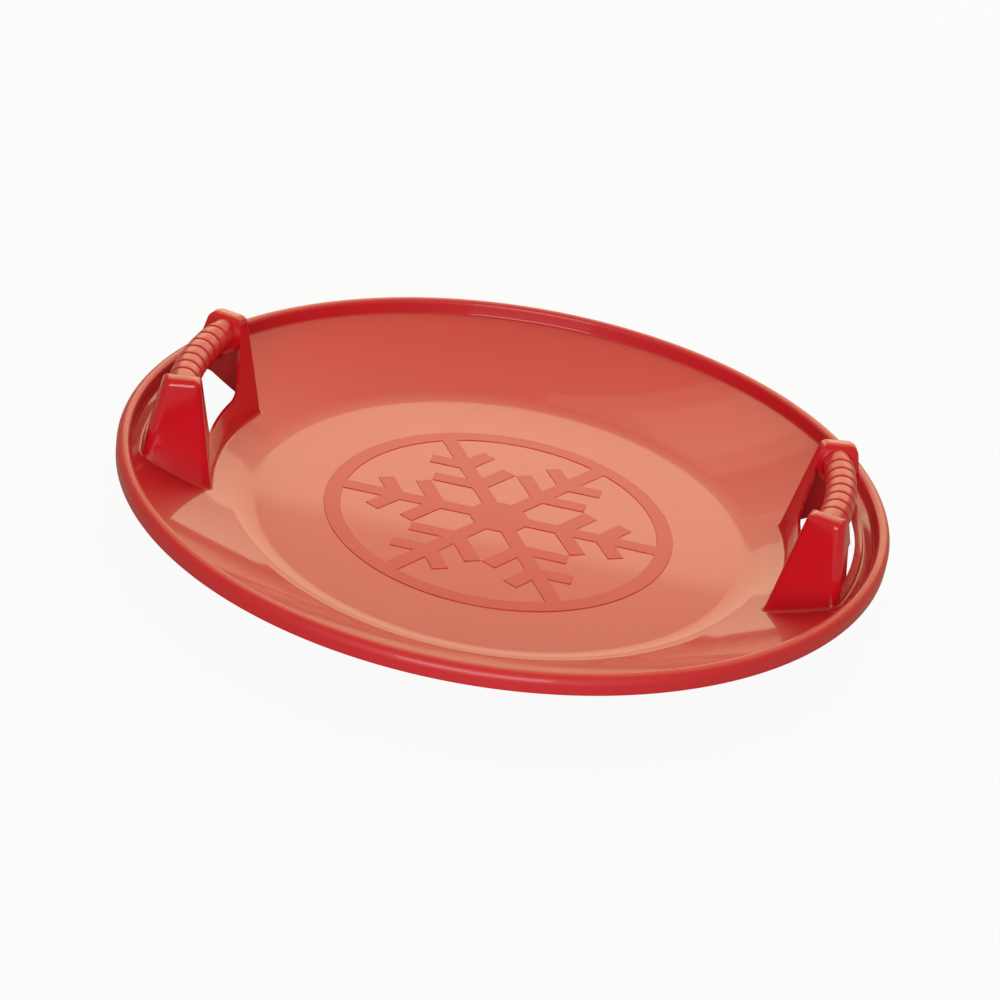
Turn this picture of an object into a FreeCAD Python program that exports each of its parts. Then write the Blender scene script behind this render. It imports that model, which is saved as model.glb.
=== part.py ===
import FreeCAD, Part
import math
import os

import Sketcher

# Saucer sled: a round moulded dish with a flat floor, a flared wall, a folded rim and two bridge handles.
# Millimetres, +Z up. The origin is on the ground under the middle of the floor, and the handles stand on
# +X (right) and -X (left). The front is -Y.

doc = FreeCAD.newDocument("SaucerSled")
sheet = doc.addObject("Spreadsheet::Sheet", "Sizes")

SIZES = (
    # Dish
    ("sled_diameter", 600),        # over the rim
    ("shell", 3),                  # floor, wall and rim
    ("wall_width", 87),            # in plan, from the rim to where the planes of floor and wall meet
    ("floor_blend", 40),           # upper radius between floor and wall
    ("pan_margin", 2),             # flat ring between the floor pan's edge and the blend
    # Rim
    ("rim_height", 53),            # top of the rim above the ground
    ("rim_width", 11),
    ("rim_band", 11.9),            # inner upright band above the wall
    ("rim_skirt", 13.5),           # outer skirt, from the top of the rim
    ("rim_outer_round", 7),
    ("rim_inner_round", 2.5),
    # Handles: the upright walls lean by the drafts, and their radial sizes are taken at the rim's height
    ("handle_rise", 45),           # top of the posts above the rim
    ("handle_setback", 11.51),     # rim band to outer wall
    ("handle_width", 44.66),       # inner wall to outer wall
    ("handle_wall", 2.5),
    ("inner_draft", 10),           # degrees, walls towards the seat
    ("outer_draft", 11.5),         # degrees, walls towards the rim
    ("end_draft", 8.2),            # degrees, end faces
    ("gap_draft", 11.4),           # degrees, faces towards the hand gap, which is wider at the top
    ("flare_draft", 10.5),         # degrees, ends of the hole in the outer wall, which is wider at the bottom
    ("hand_gap", 106.6),           # between the posts, along the grip
    ("post_depth", 48),            # along the rim, at the ground
    ("flare_reach", 34),           # hole in the outer wall past the hand gap, at the ground
    ("post_round", 4),
    ("sill_drop", 15),             # top of the sill below the rim
    ("lip_drop", 10),              # top of the outer lip below the rim
    ("lip_wall", 5.5),
    ("hole_corner", 12),           # radius in the lower corners of the hand hole
    ("corner_tip", 1),             # what is left of a corner at its upper end
    # Grips
    ("grip_clearance", 4.63),      # grip to the handle's inner and outer walls, beside its axis
    ("grip_drop", 15),             # axis below the top of the posts
    ("root_margin", 4),            # root plate round the grip
    ("groove_count", 7),
    ("groove_round", 1.3),
    # Relief on the floor: a snow crystal in a ring
    ("relief_diameter", 276),
    ("relief_height", 1),
    ("relief_stroke", 13),
    ("relief_hub", 46),            # across the hub
    ("arm_count", 6),
)

for row, (name, value) in enumerate(SIZES, start=1):
    sheet.set(f"A{row}", name)
    sheet.set(f"B{row}", str(value))
    sheet.setAlias(f"B{row}", name)
doc.recompute()

# Branches of a crystal arm: place along the arm and length, as shares of the relief's radius
BRANCH_SHARES = ((0.36, 0.27), (0.6, 0.21))
BRANCH_ANGLE = 60

# Largest rounding of a post's edges, as a share of the width of its top
ROUND_SHARE = 0.15

# Plain ends of a grip, past the outer grooves, together as a share of the grooves' pitch
PLAIN_SHARE = 1.9

# Sizes worked out from the sheet, as expressions in its cells
RIM_OUTER = "(Sizes.sled_diameter / 2)"
RIM_INNER = f"({RIM_OUTER} - Sizes.rim_width)"
FLOOR_RADIUS = f"({RIM_INNER} - Sizes.wall_width)"
WALL_TOP = "(Sizes.rim_height - Sizes.rim_band)"
SLOPE = f"atan(({WALL_TOP} - Sizes.shell) / Sizes.wall_width)"
WALL_END = f"({WALL_TOP} - Sizes.shell / cos({SLOPE}))"
UNDER_RADIUS = f"({FLOOR_RADIUS} + Sizes.shell * tan({SLOPE} / 2))"
PAN_RADIUS = f"({FLOOR_RADIUS} - Sizes.floor_blend * tan({SLOPE} / 2) - Sizes.pan_margin)"
HANDLE_TOP = "(Sizes.rim_height + Sizes.handle_rise)"
GRIP_HEIGHT = f"({HANDLE_TOP} - Sizes.grip_drop)"
INNER_LEAN = "tan(Sizes.inner_draft)"
OUTER_LEAN = "(-tan(Sizes.outer_draft))"
GAP_LEAN = "tan(Sizes.gap_draft)"
FOOT_OUTER = f"({RIM_INNER} - Sizes.handle_setback - Sizes.rim_height * {OUTER_LEAN})"
FOOT_INNER = f"({RIM_INNER} - Sizes.handle_setback - Sizes.handle_width - Sizes.rim_height * {INNER_LEAN})"
GRIP_PATH = f"(({FOOT_OUTER} + {FOOT_INNER} + {GRIP_HEIGHT} * ({OUTER_LEAN} + {INNER_LEAN})) / 2)"
GAP_ANGLE = f"((Sizes.hand_gap / 2 - {GRIP_HEIGHT} * {GAP_LEAN}) / {GRIP_PATH} * 180 / pi)"
END_ANGLE = f"({GAP_ANGLE} + Sizes.post_depth / {GRIP_PATH} * 180 / pi)"
FLARE_ANGLE = f"({GAP_ANGLE} + Sizes.flare_reach / {GRIP_PATH} * 180 / pi)"
TOP_ROOM = f"(Sizes.handle_width + Sizes.handle_rise * ({OUTER_LEAN} - {INNER_LEAN}))"
POST_ROUND = f"min(Sizes.post_round; {ROUND_SHARE} * {TOP_ROOM})"
GRIP_ROOM = f"(Sizes.handle_width + ({GRIP_HEIGHT} - Sizes.rim_height) * ({OUTER_LEAN} - {INNER_LEAN}))"
GRIP_RADIUS = f"({GRIP_ROOM} / 2 - Sizes.grip_clearance)"
COLLAR_RADIUS = f"({GRIP_RADIUS} + Sizes.root_margin)"
GROOVE_PITCH = f"(Sizes.hand_gap / (Sizes.groove_count - 1 + {PLAIN_SHARE}))"
RELIEF_RADIUS = "(Sizes.relief_diameter / 2)"


def number(expression):
    value = sheet.evalExpression(expression)
    return getattr(value, "Value", value)


def make(kind, name, **expressions):
    """A document object whose properties follow the sheet. A double underscore stands for a dot."""
    thing = doc.addObject(kind, name)
    for key, expression in expressions.items():
        thing.setExpression(key.replace("__", "."), expression)
    return thing


def cut(name, base, *tools):
    for index, tool in enumerate(tools, start=1):
        result = doc.addObject("Part::Cut", name if index == len(tools) else f"{name}_step{index}")
        result.Base = base
        result.Tool = tool
        base = result
    return result


def common(name, base, tool):
    result = doc.addObject("Part::Common", name)
    result.Base = base
    result.Tool = tool
    return result


def fuse(name, *pieces):
    result = doc.addObject("Part::MultiFuse", name)
    result.Shapes = list(pieces)
    return result


def mirror(name, source, normal):
    result = doc.addObject("Part::Mirroring", name)
    result.Source = source
    result.Normal = FreeCAD.Vector(*normal)
    return result


def origin_plane(body, role):
    return next(item for item in body.Origin.OriginFeatures if item.Role == role)


def revolved_body(name, corners):
    """A body turned about Z from a closed outline of (radius, height) corners, given as expressions."""
    body = doc.addObject("PartDesign::Body", name)
    sketch = body.newObject("Sketcher::SketchObject", f"{name}_section")
    sketch.AttachmentSupport = (origin_plane(body, "XZ_Plane"), [""])
    sketch.MapMode = "FlatFace"
    points = [FreeCAD.Vector(number(x), number(z), 0) for x, z in corners]
    count = len(points)
    for index, point in enumerate(points):
        sketch.addGeometry(Part.LineSegment(point, points[(index + 1) % count]), False)
    for index in range(count):
        sketch.addConstraint(Sketcher.Constraint("Coincident", index, 2, (index + 1) % count, 1))
    for index, corner in enumerate(corners):
        for kind, axis, expression in zip(("DistanceX", "DistanceY"), (-2, -1), corner):
            if expression == "0":
                sketch.addConstraint(Sketcher.Constraint("PointOnObject", index, 1, axis))
            else:
                place = Sketcher.Constraint(kind, -1, 1, index, 1, number(expression))
                constraint = sketch.addConstraint(place)
                sketch.setExpression(f"Constraints[{constraint}]", expression)
    turned = body.newObject("PartDesign::Revolution", f"{name}_turned")
    turned.Profile = sketch
    turned.ReferenceAxis = (sketch, ["V_Axis"])
    sketch.Visibility = False
    doc.recompute()
    return body


def round_edges(body, name, radius, pick):
    """Fillets those edges of a body's tip that pick() chooses."""
    base = body.Tip
    edges = base.Shape.Edges
    names = [f"Edge{edges.index(edge) + 1}" for edge in pick(edges)]
    fillet = body.newObject("PartDesign::Fillet", name)
    fillet.Base = (base, names)
    fillet.setExpression("Radius", radius)
    doc.recompute()


def circle_at(radius, height):
    """Picks the circle about Z that lies nearest to that radius and height."""
    def distance(edge):
        return math.hypot(edge.Curve.Radius - number(radius), edge.Curve.Center.z - number(height))

    def pick(edges):
        return [min((edge for edge in edges if isinstance(edge.Curve, Part.Circle)), key=distance)]

    return pick


def leaning_cone(name, foot_radius, lean, height, start="0", sweep="360"):
    """A sector of a cone about Z, whose radius grows by lean for each unit of height."""
    return make(
        "Part::Cone", name,
        Radius1=foot_radius,
        Radius2=f"{foot_radius} + {height} * {lean}",
        Height=height,
        Angle=sweep,
        Placement__Rotation__Yaw=start,
    )


def past_face(name, angle, draft, inset="0"):
    """A block that covers all that lies past a leaning plane, which is moved back by inset.

    The plane holds the sled's radius at that angle at ground level and leans back by draft, going up.
    """
    along = f"({RIM_OUTER} * sin({draft}) - {inset} * cos({draft}))"
    down = f"({RIM_OUTER} * cos({draft}) + {inset} * sin({draft}))"
    return make(
        "Part::Box", name,
        Length="Sizes.sled_diameter", Width="Sizes.sled_diameter", Height="Sizes.sled_diameter",
        Placement__Rotation__Yaw=angle,
        Placement__Rotation__Roll=draft,
        Placement__Base__x=f"-{along} * sin({angle})",
        Placement__Base__y=f"{along} * cos({angle})",
        Placement__Base__z=f"-{down}",
    )


def rear_half(name, inset, top):
    """The drafted rear half of a handle, moved in by inset, from the middle of the grip to its end face."""
    outer = leaning_cone(f"{name}_outer", f"({FOOT_OUTER} - {inset})", OUTER_LEAN, top, "0", END_ANGLE)
    inner = leaning_cone(f"{name}_inner", f"({FOOT_INNER} + {inset})", INNER_LEAN, top)
    return cut(name, outer, inner, past_face(f"{name}_end", END_ANGLE, "Sizes.end_draft", inset))


def grip_torus(name, radius):
    """A bar bowed along the grip's axis, over the whole handle."""
    return make(
        "Part::Torus", name,
        Radius1=GRIP_PATH,
        Radius2=radius,
        Angle3=f"2 * {END_ANGLE}",
        Placement__Rotation__Yaw=f"-{END_ANGLE}",
        Placement__Base__z=GRIP_HEIGHT,
    )


def front_gap(name, inset="0"):
    """All that lies behind the front post's face towards the hand gap, and inset deep in the post."""
    return past_face(name, f"-{GAP_ANGLE}", "Sizes.gap_draft", inset)


# Space above the wall's underside: everything that stands in the wall ends at this cone.
bowl_space = make(
    "Part::Cone", "bowl_space",
    Radius1=UNDER_RADIUS,
    Radius2=f"{UNDER_RADIUS} + {HANDLE_TOP} / tan({SLOPE})",
    Height=HANDLE_TOP,
)

# Floor pan: the flat disc that slides on the snow.
floor_pan = make("Part::Cylinder", "floor_pan", Radius=PAN_RADIUS, Height="Sizes.shell")

# Flared wall: a conical shell blended into the floor, cut out under both handles.
wall_body = revolved_body("wall_ring", (
    (PAN_RADIUS, "0"),
    (UNDER_RADIUS, "0"),
    (RIM_INNER, WALL_END),
    (RIM_INNER, WALL_TOP),
    (FLOOR_RADIUS, "Sizes.shell"),
    (PAN_RADIUS, "Sizes.shell"),
))
round_edges(wall_body, "upper_blend", "Sizes.floor_blend", circle_at(FLOOR_RADIUS, "Sizes.shell"))
round_edges(wall_body, "under_blend", "Sizes.floor_blend + Sizes.shell", circle_at(UNDER_RADIUS, "0"))

handle_outer = leaning_cone(
    "handle_outer", FOOT_OUTER, OUTER_LEAN, HANDLE_TOP, f"-{END_ANGLE}", f"2 * {END_ANGLE}"
)
handle_inner = leaning_cone("handle_inner", FOOT_INNER, INNER_LEAN, HANDLE_TOP)
past_rear = past_face("past_rear", END_ANGLE, "Sizes.end_draft")
past_front = mirror("past_front", past_rear, (0, 1, 0))
right_opening = cut("right_opening", handle_outer, handle_inner, past_rear, past_front)
left_opening = mirror("left_opening", right_opening, (1, 0, 0))
flared_wall = cut("flared_wall", wall_body, right_opening, left_opening)

# Rim: an upright inner band on the wall's edge, a rounded top and an outer skirt, open underneath.
rim = revolved_body("rim", (
    (RIM_INNER, WALL_END),
    (f"{RIM_INNER} + Sizes.shell", WALL_END),
    (f"{RIM_INNER} + Sizes.shell", "Sizes.rim_height - Sizes.shell"),
    (f"{RIM_OUTER} - Sizes.shell", "Sizes.rim_height - Sizes.shell"),
    (f"{RIM_OUTER} - Sizes.shell", "Sizes.rim_height - Sizes.rim_skirt"),
    (RIM_OUTER, "Sizes.rim_height - Sizes.rim_skirt"),
    (RIM_OUTER, "Sizes.rim_height"),
    (RIM_INNER, "Sizes.rim_height"),
))
round_edges(rim, "rim_outer_edge", "Sizes.rim_outer_round", circle_at(RIM_OUTER, "Sizes.rim_height"))
round_edges(rim, "rim_inner_edge", "Sizes.rim_inner_round", circle_at(RIM_INNER, "Sizes.rim_height"))


# Hand gap: the space between the leaning faces of a handle's two posts, and below the grip's roots the longer
# hole in the outer wall.
gap_behind = front_gap("gap_behind")
gap_ahead = mirror("gap_ahead", gap_behind, (0, 1, 0))
between_posts = common("between_posts", gap_behind, gap_ahead)
past_flare = past_face("past_flare", FLARE_ANGLE, "Sizes.flare_draft")
outer_hole = cut(
    "outer_hole",
    leaning_cone("hole_outside", FOOT_OUTER, OUTER_LEAN, GRIP_HEIGHT, f"-{END_ANGLE}", f"2 * {END_ANGLE}"),
    make("Part::Cylinder", "hole_inside", Radius=GRIP_PATH, Height=GRIP_HEIGHT),
    grip_torus("hole_over", f"{COLLAR_RADIUS} + Sizes.handle_wall"),
    past_flare,
    mirror("past_flare_front", past_flare, (0, 1, 0)),
)
hand_space = fuse("hand_space", between_posts, outer_hole)


# Posts: hollow hoods with drafted walls, open underneath and, below the plate round the grip's root, to the hand
# gap.
def post_outside(edges):
    """Picks the post's top edges and its two upright corners at the end face."""
    top = number(f"{HANDLE_TOP} - {POST_ROUND}")
    middle = number(f"({GAP_ANGLE} + {END_ANGLE}) / 2")
    picked = []
    for edge in edges:
        at_top = [vertex.Z > top for vertex in edge.Vertexes]
        foot = min(edge.Vertexes, key=lambda vertex: vertex.Z)
        if all(at_top) or (any(at_top) and math.degrees(math.atan2(foot.Y, foot.X)) > middle):
            picked.append(edge)
    return picked


post_block = cut("post_block", rear_half("rear_block", "0", HANDLE_TOP), hand_space)
doc.recompute()
post_skin = doc.addObject("PartDesign::Body", "post_skin")
post_skin.BaseFeature = post_block
doc.recompute()
round_edges(post_skin, "post_rounds", POST_ROUND, post_outside)
plate_back = mirror("plate_back", front_gap("plate_front", "Sizes.handle_wall"), (0, 1, 0))
core_above = cut(
    "core_above",
    rear_half("core", "Sizes.handle_wall", f"({HANDLE_TOP} - Sizes.handle_wall)"),
    plate_back,
)
collar = common("collar", grip_torus("collar_bar", COLLAR_RADIUS), plate_back)
core_below = cut("core_below", rear_half("core_open", "Sizes.handle_wall", GRIP_HEIGHT), collar)
post_hood = cut("post_hood", post_skin, core_above, core_below)
right_rear_post = common("right_rear_post", post_hood, bowl_space)
right_front_post = mirror("right_front_post", right_rear_post, (0, 1, 0))
left_rear_post = mirror("left_rear_post", right_rear_post, (1, 0, 0))
left_front_post = mirror("left_front_post", right_front_post, (1, 0, 0))


# Sill and outer lip: low drafted walls between the posts, whose tops curve up into the posts.
def low_wall(name, foot_radius, thickness, lean, drop, end_angle, end_lean):
    """A wall with a notch whose lower corners are round. Its outer face is at foot_radius.

    It ends at the posts, on planes that hold the sled's radius at end_angle and open by end_lean, going up.
    """
    top = f"(Sizes.rim_height - {drop} + Sizes.hole_corner)"
    outer = leaning_cone(f"{name}_outer", foot_radius, lean, top, f"-{END_ANGLE}", f"2 * {END_ANGLE}")
    inner = leaning_cone(f"{name}_inner", f"({foot_radius} - {thickness})", lean, top)
    reach = f"({foot_radius} - {thickness} + {top} * {lean})"
    half = f"({reach} * sin({end_angle}) + {top} * {end_lean} * cos({end_angle}) - Sizes.corner_tip)"
    above = make(
        "Part::Box", f"{name}_notch_top",
        Length="Sizes.sled_diameter", Width=f"2 * {half}", Height="Sizes.hole_corner",
        Placement__Base__y=f"-{half}",
        Placement__Base__z=f"Sizes.rim_height - {drop} + Sizes.hole_corner",
    )
    between = make(
        "Part::Box", f"{name}_notch",
        Length="Sizes.sled_diameter", Width=f"2 * ({half} - Sizes.hole_corner)", Height="Sizes.hole_corner",
        Placement__Base__y=f"-({half} - Sizes.hole_corner)",
        Placement__Base__z=f"Sizes.rim_height - {drop}",
    )
    corners = [
        make(
            "Part::Cylinder", f"{name}_corner{index}",
            Radius="Sizes.hole_corner", Height="Sizes.sled_diameter",
            Placement__Rotation__Pitch="90",
            Placement__Base__y=f"{way} * ({half} - Sizes.hole_corner)",
            Placement__Base__z=f"Sizes.rim_height - {drop} + Sizes.hole_corner",
        )
        for index, way in enumerate((-1, 1), start=1)
    ]
    notch = fuse(f"{name}_hole", above, between, *corners)
    standing = common(f"{name}_standing", cut(f"{name}_wall", outer, inner, notch), bowl_space)
    return common(name, standing, hand_space)


right_sill = low_wall(
    "right_sill", f"({FOOT_INNER} + Sizes.handle_wall)", "Sizes.handle_wall", INNER_LEAN,
    "Sizes.sill_drop", GAP_ANGLE, GAP_LEAN,
)
left_sill = mirror("left_sill", right_sill, (1, 0, 0))
right_outer_lip = low_wall(
    "right_outer_lip", FOOT_OUTER, "Sizes.lip_wall", OUTER_LEAN,
    "Sizes.lip_drop", FLARE_ANGLE, "(-tan(Sizes.flare_draft))",
)
left_outer_lip = mirror("left_outer_lip", right_outer_lip, (1, 0, 0))

# Grips: round bars bowed along the rim, from root plate to root plate, with ring grooves between the ribs.
grip_bar = grip_torus("grip_bar", GRIP_RADIUS)
grooves = []
for index in range(int(sheet.groove_count)):
    turn = f"(({index} - (Sizes.groove_count - 1) / 2) * {GROOVE_PITCH} / {GRIP_PATH} * 180 / pi)"
    grooves.append(make(
        "Part::Torus", f"grip_groove{index}",
        Radius1=GRIP_RADIUS,
        Radius2="Sizes.groove_round",
        Placement__Rotation__Yaw=turn,
        Placement__Rotation__Roll="90",
        Placement__Base__x=f"{GRIP_PATH} * cos({turn})",
        Placement__Base__y=f"{GRIP_PATH} * sin({turn})",
        Placement__Base__z=GRIP_HEIGHT,
    ))
grooved_bar = cut("grooved_bar", grip_bar, fuse("grip_grooves", *grooves))
right_grip = common("right_grip", grooved_bar, hand_space)
left_grip = mirror("left_grip", right_grip, (1, 0, 0))


# Floor relief: a ring, a hub and branched arms, raised in one piece on the floor pan.
def stroke(name, turn, start, length, lean="0"):
    """A straight stroke from a place along the arm at angle turn, leaning from the arm by lean."""
    way = f"(mod({turn} + {lean} + 540, 360) - 180)"
    return make(
        "Part::Box", name,
        Length=length, Width="Sizes.relief_stroke", Height="Sizes.relief_height",
        Placement__Rotation__Yaw=way,
        Placement__Base__x=f"{start} * cos({turn}) + Sizes.relief_stroke / 2 * sin({way})",
        Placement__Base__y=f"{start} * sin({turn}) - Sizes.relief_stroke / 2 * cos({way})",
        Placement__Base__z="Sizes.shell",
    )


def relief_disc(name, radius):
    return make(
        "Part::Cylinder", name, Radius=radius, Height="Sizes.relief_height", Placement__Base__z="Sizes.shell"
    )


relief_ring = cut(
    "relief_ring",
    relief_disc("relief_edge", RELIEF_RADIUS),
    relief_disc("relief_field", f"{RELIEF_RADIUS} - Sizes.relief_stroke"),
)
strokes = [relief_ring, relief_disc("relief_hub", "Sizes.relief_hub / 2")]
for arm in range(int(sheet.arm_count)):
    turn = f"({arm} * 360 / Sizes.arm_count)"
    strokes.append(stroke(f"arm{arm}", turn, "0", f"{RELIEF_RADIUS} - Sizes.relief_stroke / 2"))
    for row, (place_share, length_share) in enumerate(BRANCH_SHARES, start=1):
        for side, lean in (("left", f"{BRANCH_ANGLE}"), ("right", f"-{BRANCH_ANGLE}")):
            strokes.append(stroke(
                f"branch{arm}_{row}_{side}", turn,
                f"{place_share} * {RELIEF_RADIUS}", f"{length_share} * {RELIEF_RADIUS}", lean,
            ))
floor_relief = fuse("floor_relief", *strokes)

doc.recompute()

pieces = (
    floor_pan, flared_wall, rim, floor_relief,
    right_sill, left_sill, right_outer_lip, left_outer_lip,
    right_front_post, right_rear_post, left_front_post, left_rear_post,
    right_grip, left_grip,
)
for thing in doc.Objects:
    if "Invalid" in thing.State or "Error" in thing.State:
        raise RuntimeError(f"{thing.Label} failed: {thing.State}")
for piece in pieces:
    if piece.Shape.isNull() or not piece.Shape.isValid() or len(piece.Shape.Solids) != 1:
        raise RuntimeError(f"{piece.Label} is not one valid solid")

os.makedirs("parts", exist_ok=True)
for piece in pieces:
    piece.Shape.exportStep(f"parts/{piece.Label}.step")
    box = piece.Shape.BoundBox
    print(f"{piece.Label}: {piece.Shape.Volume:.0f} mm3, {box}")
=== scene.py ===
import math

import bmesh
import bpy
from mathutils import Matrix, Vector


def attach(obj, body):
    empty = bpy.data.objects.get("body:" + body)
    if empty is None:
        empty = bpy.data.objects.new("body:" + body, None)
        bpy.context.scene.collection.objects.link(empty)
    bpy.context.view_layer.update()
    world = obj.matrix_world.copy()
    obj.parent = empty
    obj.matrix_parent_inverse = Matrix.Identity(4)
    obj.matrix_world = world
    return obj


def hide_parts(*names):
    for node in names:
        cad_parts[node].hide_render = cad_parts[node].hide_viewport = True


# Round plastic snow sled: one glossy red moulding with a flat floor, a flared wall, a folded rim and a
# bridge handle on each side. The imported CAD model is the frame, in metres.
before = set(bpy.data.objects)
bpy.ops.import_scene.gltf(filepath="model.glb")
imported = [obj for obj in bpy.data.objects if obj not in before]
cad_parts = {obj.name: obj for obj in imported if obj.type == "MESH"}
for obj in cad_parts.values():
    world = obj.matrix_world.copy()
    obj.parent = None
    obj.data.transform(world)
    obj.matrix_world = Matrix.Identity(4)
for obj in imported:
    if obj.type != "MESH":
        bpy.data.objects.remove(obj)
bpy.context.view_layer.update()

# Floor pan: the flat round bottom of the sled, which slides on the snow and carries the rider. It is 3 mm
# of polished red plastic, moulded in one shot with the rest of the dish.
sled_red = (0.53, 0.006, 0.015)
shell = 0.003
floor_radius = 0.1905
turns = 288
weld = 1e-6
crease = math.radians(32)


def red_plastic(name, roughness, grain, gloss=0.5, mirror=0):
    """Red plastic, slightly uneven in colour and sheen, with a fine grain and a share of mirror polish."""
    material = bpy.data.materials.new(name)
    material.use_nodes = True
    nodes = material.node_tree.nodes
    link = material.node_tree.links.new
    shader = nodes["Principled BSDF"]
    place = nodes.new("ShaderNodeTexCoord")
    cloud = nodes.new("ShaderNodeTexNoise")
    cloud.inputs["Scale"].default_value = 9
    cloud.inputs["Detail"].default_value = 3
    link(place.outputs["Object"], cloud.inputs["Vector"])
    tint = nodes.new("ShaderNodeMix")
    tint.data_type = "RGBA"
    tint.inputs["A"].default_value = (*[0.95 * part for part in sled_red], 1)
    tint.inputs["B"].default_value = (*[1.05 * part for part in sled_red], 1)
    link(cloud.outputs["Fac"], tint.inputs["Factor"])
    link(tint.outputs["Result"], shader.inputs["Base Color"])
    sheen = nodes.new("ShaderNodeMapRange")
    sheen.inputs["To Min"].default_value = 0.88 * roughness
    sheen.inputs["To Max"].default_value = 1.12 * roughness
    link(cloud.outputs["Fac"], sheen.inputs["Value"])
    link(sheen.outputs["Result"], shader.inputs["Roughness"])
    skin = nodes.new("ShaderNodeTexNoise")
    skin.inputs["Scale"].default_value = 420
    link(place.outputs["Object"], skin.inputs["Vector"])
    bump = nodes.new("ShaderNodeBump")
    bump.inputs["Strength"].default_value = grain
    bump.inputs["Distance"].default_value = 0.0002
    link(skin.outputs["Fac"], bump.inputs["Height"])
    link(bump.outputs["Normal"], shader.inputs["Normal"])
    shader.inputs["IOR"].default_value = 1.5
    shader.inputs["Specular IOR Level"].default_value = gloss
    shader.inputs["Coat Weight"].default_value = mirror
    shader.inputs["Coat Roughness"].default_value = 0.055
    return material


def turned(points, closed=False):
    """A shape turned about the sled's axis from a chain of (radius, height) points."""
    shape = bmesh.new()
    chain = [shape.verts.new((radius, 0, height)) for radius, height in points]
    for first, second in zip(chain, chain[1:]):
        shape.edges.new((first, second))
    if closed:
        shape.edges.new((chain[-1], chain[0]))
    bmesh.ops.spin(
        shape, geom=shape.verts[:] + shape.edges[:], cent=(0, 0, 0), axis=(0, 0, 1),
        angle=math.tau, steps=turns, use_merge=True,
    )
    bmesh.ops.remove_doubles(shape, verts=shape.verts, dist=weld)
    return shape


def dress(name, shape, *finishes):
    """Turns a finished shape into the piece that stands for the CAD node of the same name."""
    bmesh.ops.remove_doubles(shape, verts=shape.verts, dist=weld)
    bmesh.ops.recalc_face_normals(shape, faces=shape.faces)
    mesh = bpy.data.meshes.new(name)
    shape.to_mesh(mesh)
    shape.free()
    for finish in finishes:
        mesh.materials.append(finish)
    mesh.shade_smooth()
    mesh.set_sharp_from_angle(angle=crease)
    piece = bpy.data.objects.new(f"moulded_{name}", mesh)
    bpy.context.scene.collection.objects.link(piece)
    shading = piece.modifiers.new("even_shading", "WEIGHTED_NORMAL")
    shading.keep_sharp = True
    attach(piece, "root")
    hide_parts(name)


pan_line = ((0, 0), (floor_radius, 0), (floor_radius, shell), (0, shell))
dish_red = red_plastic("dish_red", 0.45, 0.02, 0.28, 0.62)
dress("floor_pan", turned(pan_line, True), dish_red)

# Flared wall: the sloping, slightly hollow side of the dish, a 3 mm shell of the same plastic. It runs out of
# the floor by a wide blend and into the rim by a small fillet, and it is open under both handles.
rim_inner = 0.289
wall_top = 0.0411
blend = 0.06
blend_steps = 12
low_angle = math.radians(18.5)
blend_end = floor_radius + blend * math.sin(low_angle)
blend_top = shell + blend * (1 - math.cos(low_angle))
high_angle = 2 * math.atan((wall_top - blend_top) / (rim_inner - blend_end)) - low_angle
hollow = (rim_inner - blend_end) / (math.sin(high_angle) - math.sin(low_angle))
rim_fillet = 0.003
fillet_steps = 5
fillet_reach = rim_fillet * math.tan((math.pi / 2 - high_angle) / 2)
hole_inside = 0.2205
hole_outside = 0.2841
hole_half = math.radians(20)
ring_steps = 10


def wall_height(radius):
    """Height of the hollow wall's upper face."""
    lean = math.sin(low_angle) + (radius - blend_end) / hollow
    return blend_top + hollow * (math.cos(low_angle) - math.sqrt(1 - lean ** 2))


def face_up(shape, way):
    """Makes the normals of a sheet agree, with the face that lies most across that way turned towards it."""
    bmesh.ops.recalc_face_normals(shape, faces=shape.faces)
    best = max(shape.faces, key=lambda face: abs(face.normal.dot(Vector(way))))
    if best.normal.dot(Vector(way)) < 0:
        bmesh.ops.reverse_faces(shape, faces=shape.faces)


def thicken(shape, thickness):
    """Gives a sheet a wall on the side away from its normals."""
    bmesh.ops.solidify(shape, geom=shape.faces[:], thickness=thickness)


wall_line = [(floor_radius, shell)]
for step in range(1, blend_steps + 1):
    turn = low_angle * step / blend_steps
    wall_line.append((floor_radius + blend * math.sin(turn), shell + blend * (1 - math.cos(turn))))
wall_rings = [
    hole_inside + (hole_outside - hole_inside) * step / ring_steps for step in range(ring_steps + 1)
]
wall_line += [(radius, wall_height(radius)) for radius in wall_rings]
for step in range(fillet_steps + 1):
    turn = high_angle + (math.pi / 2 - high_angle) * step / fillet_steps
    wall_line.append((
        rim_inner - rim_fillet * (1 - math.sin(turn)),
        wall_top + fillet_reach - rim_fillet * math.cos(turn),
    ))
wall = turned(wall_line)
openings = []
for face in wall.faces:
    middle = face.calc_center_median()
    radius = math.hypot(middle.x, middle.y)
    away = abs(math.atan2(middle.y, abs(middle.x)))
    if hole_inside < radius < hole_outside and away < hole_half:
        openings.append(face)
bmesh.ops.delete(wall, geom=openings, context="FACES")
face_up(wall, (0, 0, 1))
thicken(wall, shell)
dress("flared_wall", wall, dish_red)

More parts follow.
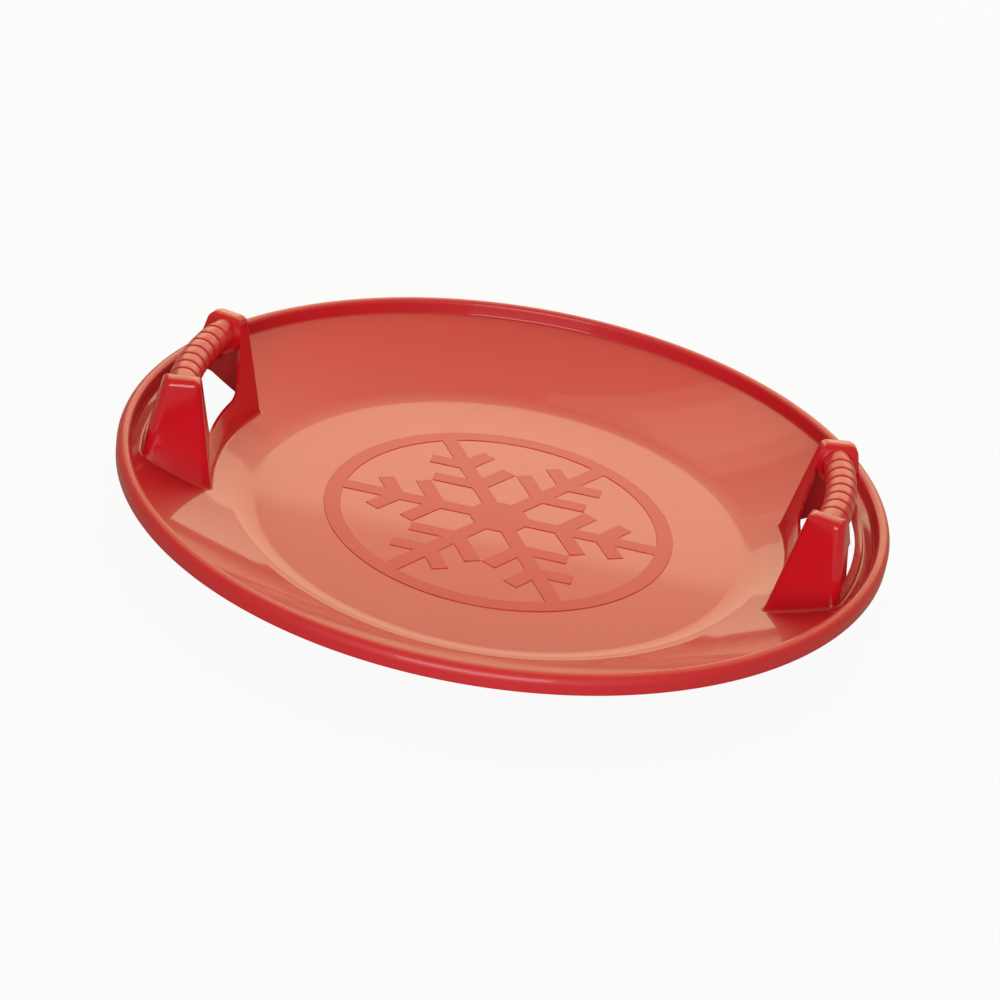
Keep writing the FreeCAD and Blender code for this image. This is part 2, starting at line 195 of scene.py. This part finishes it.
# Rim: the wall's edge, folded over into a rounded band 11 mm wide with an outer skirt. It is the same 3 mm of
# plastic, a little less polished, and open underneath so that it leaves the mould.
rim_outer = 0.3
rim_top = 0.053
skirt_foot = 0.0395
rim_mouth = 0.2896
inner_round = 0.0036
outer_round = 0.0066
round_steps = 8
rim_line = [(rim_inner, wall_top)]
for middle, rounding, start in (
    (rim_mouth + inner_round, inner_round, 180), (rim_outer - outer_round, outer_round, 90)
):
    for step in range(round_steps + 1):
        turn = math.radians(start - 90 * step / round_steps)
        height = rim_top - rounding + rounding * math.sin(turn)
        rim_line.append((middle + rounding * math.cos(turn), height))
rim = turned(rim_line + [(rim_outer, skirt_foot)])
face_up(rim, (0, 0, 1))
thicken(rim, shell)
dress("rim", rim, red_plastic("rim_red", 0.5, 0.015, 0.5, 0.3))

# Floor relief: a snow crystal in a ring, cut into the mould so that it stands half a millimetre above the
# floor, in the same plastic with a duller face and soft edges. Its outline is the CAD node's.
relief_height = 0.0005
relief_round = 0.0004
relief_flat = 0.02
relief_sharp = 1
level = 1e-5
relief = bmesh.new()
relief.from_mesh(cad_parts["floor_relief"].data)
bmesh.ops.remove_doubles(relief, verts=relief.verts, dist=weld)
bmesh.ops.dissolve_limit(relief, angle_limit=relief_flat, verts=relief.verts, edges=relief.edges)
relief_top = max(vertex.co.z for vertex in relief.verts)
relief_edges = [
    edge for edge in relief.edges
    if all(vertex.co.z > relief_top - level for vertex in edge.verts)
    and len(edge.link_faces) == 2 and edge.calc_face_angle() > relief_sharp
]
for vertex in relief.verts:
    if vertex.co.z > relief_top - level:
        vertex.co.z = shell + relief_height


def rounded(shape, geom, reach, segments, affect="EDGES", clamp=False):
    """Rounds edges or corners of a shape, from that far on either side."""
    bmesh.ops.bevel(
        shape, geom=geom, offset=reach, offset_type="OFFSET", affect=affect, segments=segments, profile=0.5,
        material=-1, clamp_overlap=clamp,
    )


rounded(relief, relief_edges, relief_round, 3)
dress("floor_relief", relief, red_plastic("relief_red", 0.24, 0.05, 0.3))

# Handle skin: posts, sill and lip of a handle are one drafted skin with rounded edges that runs into the wall
# by a fillet. It is laid out flat, with x along the rim, y from the sled's axis and z up, then cut into
# those pieces, given its wall and bowed round the rim.
wall_slope = 39 / 89
wall_foot = 0.202
bow = 0.25475
handle_top = 0.098
sill_top = 0.038
lip_top = 0.043
grip_axis = 0.083
collar = 0.0164
root = 0.08
hole_top = 0.0755
inner_foot = 0.22348
inner_lean = math.tan(math.radians(10))
outer_foot = 0.28827
outer_lean = -math.tan(math.radians(11.5))
gap_foot = 0.03655
gap_lean = math.tan(math.radians(11.4))
end_foot = 0.08457
end_lean = -math.tan(math.radians(8.2))
flare_foot = 0.07056
flare_lean = -math.tan(math.radians(10.5))
skin = bmesh.new()


def on_wall(radius):
    """Height of the straight wall that the handle is laid out on."""
    return shell + wall_slope * (radius - wall_foot)


def gap_edge(height):
    """Where a post faces the hand gap."""
    return gap_foot + height * gap_lean


def end_edge(height):
    """Where the handle ends along the rim."""
    return end_foot + height * end_lean


def flare_edge(height):
    """Where the hole in the outer wall ends, which is wider at the bottom."""
    return flare_foot + height * flare_lean


def inner(along, height):
    return skin.verts.new((along, inner_foot + inner_lean * height, height))


def outer(along, height):
    return skin.verts.new((along, outer_foot + outer_lean * height, height))


inner_base = on_wall(inner_foot) / (1 - wall_slope * inner_lean)
outer_base = on_wall(outer_foot) / (1 - wall_slope * outer_lean)
inner_line = [
    inner(0, inner_base), inner(end_edge(inner_base), inner_base),
    inner(end_edge(handle_top), handle_top), inner(gap_edge(handle_top), handle_top),
    inner(gap_edge(root), root), inner(gap_edge(sill_top), sill_top), inner(0, sill_top),
]
outer_line = [
    outer(0, outer_base), outer(end_edge(outer_base), outer_base),
    outer(end_edge(handle_top), handle_top), outer(gap_edge(handle_top), handle_top),
    outer(gap_edge(root), root), outer(gap_edge(hole_top), hole_top),
    outer(flare_edge(hole_top), hole_top), outer(flare_edge(lip_top), lip_top), outer(0, lip_top),
]
collar_line = []
for angle in range(-165, 0, 25):
    height = grip_axis + collar * math.sin(math.radians(angle))
    radius = bow + collar * math.cos(math.radians(angle))
    collar_line.append(skin.verts.new((gap_edge(height), radius, height)))
skirt_half = bow * hole_half
skirt_line = [
    skin.verts.new((along, radius, on_wall(radius)))
    for along, radius in (
        (0, hole_inside), (skirt_half, hole_inside), (skirt_half, hole_outside), (0, hole_outside)
    )
]
skin.faces.new(inner_line)
skin.faces.new(outer_line[::-1])
skin.faces.new((inner_line[2], inner_line[1], outer_line[1], outer_line[2]))
skin.faces.new((inner_line[3], inner_line[2], outer_line[2], outer_line[3]))
skin.faces.new((inner_line[3], outer_line[3], outer_line[4], *collar_line[::-1], inner_line[4]))
skin.faces.new((skirt_line[0], skirt_line[1], inner_line[1], inner_line[0]))
skin.faces.new((skirt_line[1], skirt_line[2], outer_line[1], inner_line[1]))
skin.faces.new((skirt_line[2], skirt_line[3], outer_line[0], outer_line[1]))


def edge_of(first, second):
    return next(edge for edge in first.link_edges if second in edge.verts)


def in_wall(face):
    return all(abs(vertex.co.z - on_wall(vertex.co.y)) < weld for vertex in face.verts)


def both_sides(edge):
    return len(edge.link_faces) == 2


sill_corner = 0.012
lip_corner = 0.0145
hole_corner = 0.003
post_inner_round = 0.0052
post_outer_round = 0.007
top_round = 0.005
foot_fillet = 0.0022
inner_upright = edge_of(inner_line[1], inner_line[2])
outer_upright = edge_of(outer_line[1], outer_line[2])
rounded(skin, [inner_line[5]], sill_corner, 8, "VERTICES")
rounded(skin, [outer_line[7]], lip_corner, 8, "VERTICES")
rounded(skin, [outer_line[6]], hole_corner, 8, "VERTICES")
rounded(skin, [inner_upright], post_inner_round, 6)
rounded(skin, [outer_upright], post_outer_round, 6)
top_edges = [
    edge for edge in skin.edges
    if both_sides(edge) and all(vertex.co.z > handle_top - weld for vertex in edge.verts)
]
rounded(skin, top_edges, top_round, 6)
bmesh.ops.dissolve_faces(skin, faces=[face for face in skin.faces if in_wall(face)], use_verts=False)
bmesh.ops.mirror(skin, geom=skin.verts[:] + skin.edges[:] + skin.faces[:], axis="X", merge_dist=weld)
face_up(skin, (0, 0, 1))
foot_edges = [
    edge for edge in skin.edges
    if both_sides(edge) and in_wall(edge.link_faces[0]) != in_wall(edge.link_faces[1])
]
rounded(skin, foot_edges, foot_fillet, 5)


def part_of(keep):
    """The faces of the skin that keep() chooses by their middles, with their edges and corners."""
    faces = [face for face in skin.faces if keep(face.calc_center_median())]
    return list(dict.fromkeys(item for face in faces for item in (face, *face.edges, *face.verts)))


seam_slack = 0.0002
score_slack = 2e-5


def scored(geom, place, across):
    """Cuts faces of the skin along a plane and keeps both sides. Corners near the plane are left whole."""
    bmesh.ops.bisect_plane(skin, geom=geom, dist=score_slack, plane_co=place, plane_no=across)


for way in (-1, 1):
    for keep, line in ((lambda at: at.y < bow, gap_edge), (lambda at: at.y > bow, flare_edge)):
        seam_foot = way * (line(0) - seam_slack)
        scored(part_of(keep), (seam_foot, 0, 0), (way, 0, line(0) - line(1)))
step_along = bow * math.tau / turns
half_steps = 16
for step in range(-half_steps, half_steps + 1):
    scored(skin.verts[:] + skin.edges[:] + skin.faces[:], (step * step_along, 0, 0), (1, 0, 0))
for radius in wall_rings[1:-1]:
    scored(skin.verts[:] + skin.edges[:] + skin.faces[:], (0, radius, 0), (0, 1, 0))
foot_reach = 0.02
foot_clear = 0.0015
seam_reach = 1.2e-4
free_sharp = 0.9
sliver = 5e-5
sill_reach = 0.056
lip_reach = 0.06


def bowed(shape, side):
    """Bends a shape round the sled's axis and lowers its foot from the straight wall on to the hollow one."""
    for vertex in shape.verts:
        along, radius, height = vertex.co
        turn = along / bow
        nearness = 1 - (height - on_wall(radius)) / foot_reach
        height += (wall_height(radius) - on_wall(radius)) * min(1, max(0, nearness))
        vertex.co = (side * radius * math.cos(turn), radius * math.sin(turn), height)
    return shape


def on_seam(edge):
    return any(
        all(abs(abs(at.co.x) - line(at.co.z) + seam_slack) < seam_reach for at in edge.verts)
        for line in (gap_edge, flare_edge)
    )


def is_free(edge):
    """Whether an edge is an outer one of the handle's wall, clear of the foot and the seams."""
    if not both_sides(edge) or not edge.is_convex or edge.calc_face_angle() < free_sharp:
        return False
    if any(vertex.co.z < on_wall(vertex.co.y) + foot_clear for vertex in edge.verts):
        return False
    return not on_seam(edge)


def cut_out(keep, thickness, rounding):
    """The part of the skin that keep() chooses, with a wall, soft free edges and a skirt of second finish."""
    shape = skin.copy()
    rest = [face for face in shape.faces if not keep(face.calc_center_median())]
    bmesh.ops.delete(shape, geom=rest, context="FACES")
    thicken(shape, thickness)
    rounded(shape, [edge for edge in shape.edges if is_free(edge)], rounding, 3, clamp=True)
    bmesh.ops.dissolve_degenerate(shape, dist=sliver, edges=shape.edges[:])
    for face in shape.faces:
        if in_wall(face):
            face.material_index = 1
    return shape


def in_sill(at):
    return at.y < bow and at.z < sill_reach and abs(at.x) < gap_edge(at.z) - seam_slack


def in_lip(at):
    return at.y > bow and at.z < lip_reach and abs(at.x) < flare_edge(at.z) - seam_slack


# Posts: the four drafted feet of the handles, hollow hoods of 2.5 mm polished plastic. They are open
# underneath and, below the plate round the grip's root, towards the hand gap.
handle_wall = 0.0025
handle_edge = 0.0007
post_red = red_plastic("post_red", 0.12, 0.02)
for side, side_name in ((1, "right"), (-1, "left")):
    for way, way_name in ((1, "rear"), (-1, "front")):
        post = cut_out(
            lambda at: way * at.x > 0 and not in_sill(at) and not in_lip(at), handle_wall, handle_edge
        )
        dress(f"{side_name}_{way_name}_post", bowed(post, side), post_red, dish_red)

# Sills: the low inner walls of the hand holes, of the posts' own plastic and thickness. They are moulded in
# one with the posts and curve up into them.
for side, side_name in ((1, "right"), (-1, "left")):
    sill = cut_out(in_sill, handle_wall, handle_edge)
    dress(f"{side_name}_sill", bowed(sill, side), post_red, dish_red)

# Outer lips: the low walls of the hand holes towards the rim, also moulded in one with the posts. They are
# 5.5 mm thick with well rounded tops, and the whole of them has the dish's finish.
lip_wall = 0.0055
lip_edge = 0.0026
for side, side_name in ((1, "right"), (-1, "left")):
    lip = cut_out(in_lip, lip_wall, lip_edge)
    dress(f"{side_name}_outer_lip", bowed(lip, side), dish_red, dish_red)
skin.free()

# Grips: round bars of slightly dull plastic between the posts, bowed like the rim. Seven ring grooves
# between soft ribs are moulded in for the hand, and the plain ends run into the posts.
grip_radius = 0.012
pitch = 0.0135
half_groove = ((0, -0.0012), (0.0006, -0.001), (0.0011, -0.0004), (0.0017, -0.00013), (0.0032, -0.00003))
grip_ends = (0.0465, 0.057)
grip_turns = 48
root_depth = 0.0012
groove_line = [(-along, drop) for along, drop in half_groove[:0:-1]] + list(half_groove)
grip_line = []
for groove in range(-3, 4):
    grip_line += [(groove * pitch + along, grip_radius + drop) for along, drop in groove_line]
for along in grip_ends:
    grip_line.append((along, grip_radius))
    grip_line.insert(0, (-along, grip_radius))
grip_red = red_plastic("grip_red", 0.3, 0.05)
for side, side_name in ((1, "right"), (-1, "left")):
    grip = bmesh.new()
    chain = [grip.verts.new((along, bow, grip_axis + radius)) for along, radius in grip_line]
    for first, second in zip(chain, chain[1:]):
        grip.edges.new((first, second))
    bmesh.ops.spin(
        grip, geom=grip.verts[:] + grip.edges[:], cent=(0, bow, grip_axis), axis=(1, 0, 0),
        angle=math.tau, steps=grip_turns, use_merge=True,
    )
    bmesh.ops.remove_doubles(grip, verts=grip.verts, dist=weld)
    for way in (-1, 1):
        bmesh.ops.bisect_plane(
            grip, geom=grip.verts[:] + grip.edges[:] + grip.faces[:], dist=1e-7, clear_outer=True,
            plane_co=(way * (gap_foot + root_depth), 0, 0), plane_no=(way, 0, -gap_lean),
        )
    bmesh.ops.holes_fill(grip, edges=[edge for edge in grip.edges if edge.is_boundary], sides=0)
    dress(f"{side_name}_grip", bowed(grip, side), grip_red)

# Studio floor: a plain sheet of pale paper under the sled. It is white to the camera where the light falls,
# grey to everything else, and keeps the sled's shadow.
paper_half = 6
paper_grey = 0.42
white_share = 0.94
sheet = bmesh.new()
bmesh.ops.create_grid(sheet, x_segments=1, y_segments=1, size=paper_half)
sheet_mesh = bpy.data.meshes.new("studio_floor")
sheet.to_mesh(sheet_mesh)
sheet.free()
floor = bpy.data.objects.new("studio_floor", sheet_mesh)
bpy.context.scene.collection.objects.link(floor)
paper = bpy.data.materials.new("paper")
paper.use_nodes = True
paper_nodes = paper.node_tree.nodes
paper_link = paper.node_tree.links.new
paper_shader = paper_nodes["Principled BSDF"]
paper_shader.inputs["Base Color"].default_value = (paper_grey, paper_grey, paper_grey, 1)
paper_shader.inputs["Roughness"].default_value = 0.9
paper_shader.inputs["Specular IOR Level"].default_value = 0
white = paper_nodes.new("ShaderNodeEmission")
eye = paper_nodes.new("ShaderNodeLightPath")
share = paper_nodes.new("ShaderNodeMath")
share.operation = "MULTIPLY"
share.inputs[1].default_value = white_share
paper_link(eye.outputs["Is Camera Ray"], share.inputs[0])
blank = paper_nodes.new("ShaderNodeMixShader")
paper_link(share.outputs["Value"], blank.inputs["Fac"])
paper_link(paper_shader.outputs["BSDF"], blank.inputs[1])
paper_link(white.outputs["Emission"], blank.inputs[2])
paper_link(blank.outputs["Shader"], paper_nodes["Material Output"].inputs["Surface"])
sheet_mesh.materials.append(paper)

# Light: a soft, slightly warm room. A tall softbox with a brighter strip stands behind the sled, another
# hangs above and behind it, a small one is at the left, and a white one in front lights the posts.
world = bpy.data.worlds.new("studio")
bpy.context.scene.world = world
world.use_nodes = True
fill = world.node_tree.nodes["Background"]
fill.inputs["Color"].default_value = (1, 0.95, 0.65, 1)
fill.inputs["Strength"].default_value = 0.4


def softbox(name, where, target, wide, high, power, colour):
    """A rectangular area lamp that faces a target."""
    lamp = bpy.data.lights.new(name, "AREA")
    lamp.shape = "RECTANGLE"
    lamp.size = wide
    lamp.size_y = high
    lamp.energy = power
    lamp.color = colour
    box = bpy.data.objects.new(name, lamp)
    box.location = where
    box.rotation_mode = "QUATERNION"
    box.rotation_quaternion = (Vector(target) - Vector(where)).to_track_quat("-Z", "Y")
    bpy.context.scene.collection.objects.link(box)


dish = (0, 0, 0.1)
left_place = (-0.65, 1.13, 1.75)
warm = (1, 0.97, 0.6)
softbox(
    "back_softbox", where=(-0.1, 2.6, 0.98), target=dish, wide=3.6, high=1.65, power=25.5,
    colour=(1, 0.98, 0.61),
)
softbox("middle_softbox", where=(-0.1, 2.55, 1.15), target=dish, wide=3.4, high=0.6, power=9, colour=warm)
softbox(
    "top_softbox", where=(-0.1, 1.4, 2.05), target=(-0.1, 0.99, 0.05), wide=4, high=2.1, power=34.5,
    colour=(1, 0.97, 0.57),
)
softbox("side_softbox", where=left_place, target=dish, wide=0.5, high=0.36, power=0.8, colour=warm)
softbox("wide_side_softbox", where=left_place, target=dish, wide=0.8, high=0.62, power=1.2, colour=warm)
softbox(
    "front_softbox", where=(0.3, -2.7, 1), target=(0, 0, 0.05), wide=2, high=1.5, power=54, colour=(1, 1, 1)
)

# Camera: in front and a little to the right, looking down at the dish, rolled as in the photograph.
lens = bpy.data.cameras.new("camera")
lens.lens = 87.4
lens.sensor_width = 36
camera = bpy.data.objects.new("camera", lens)
camera.matrix_world = Matrix((
    (0.9724, -0.2115, 0.0983, 0.1850),
    (0.1868, 0.4538, -0.8713, -1.6527),
    (0.1397, 0.8657, 0.4808, 0.9301),
    (0, 0, 0, 1),
))
bpy.context.scene.collection.objects.link(camera)
bpy.context.scene.camera = camera
bpy.context.scene.view_settings.view_transform = "Standard"
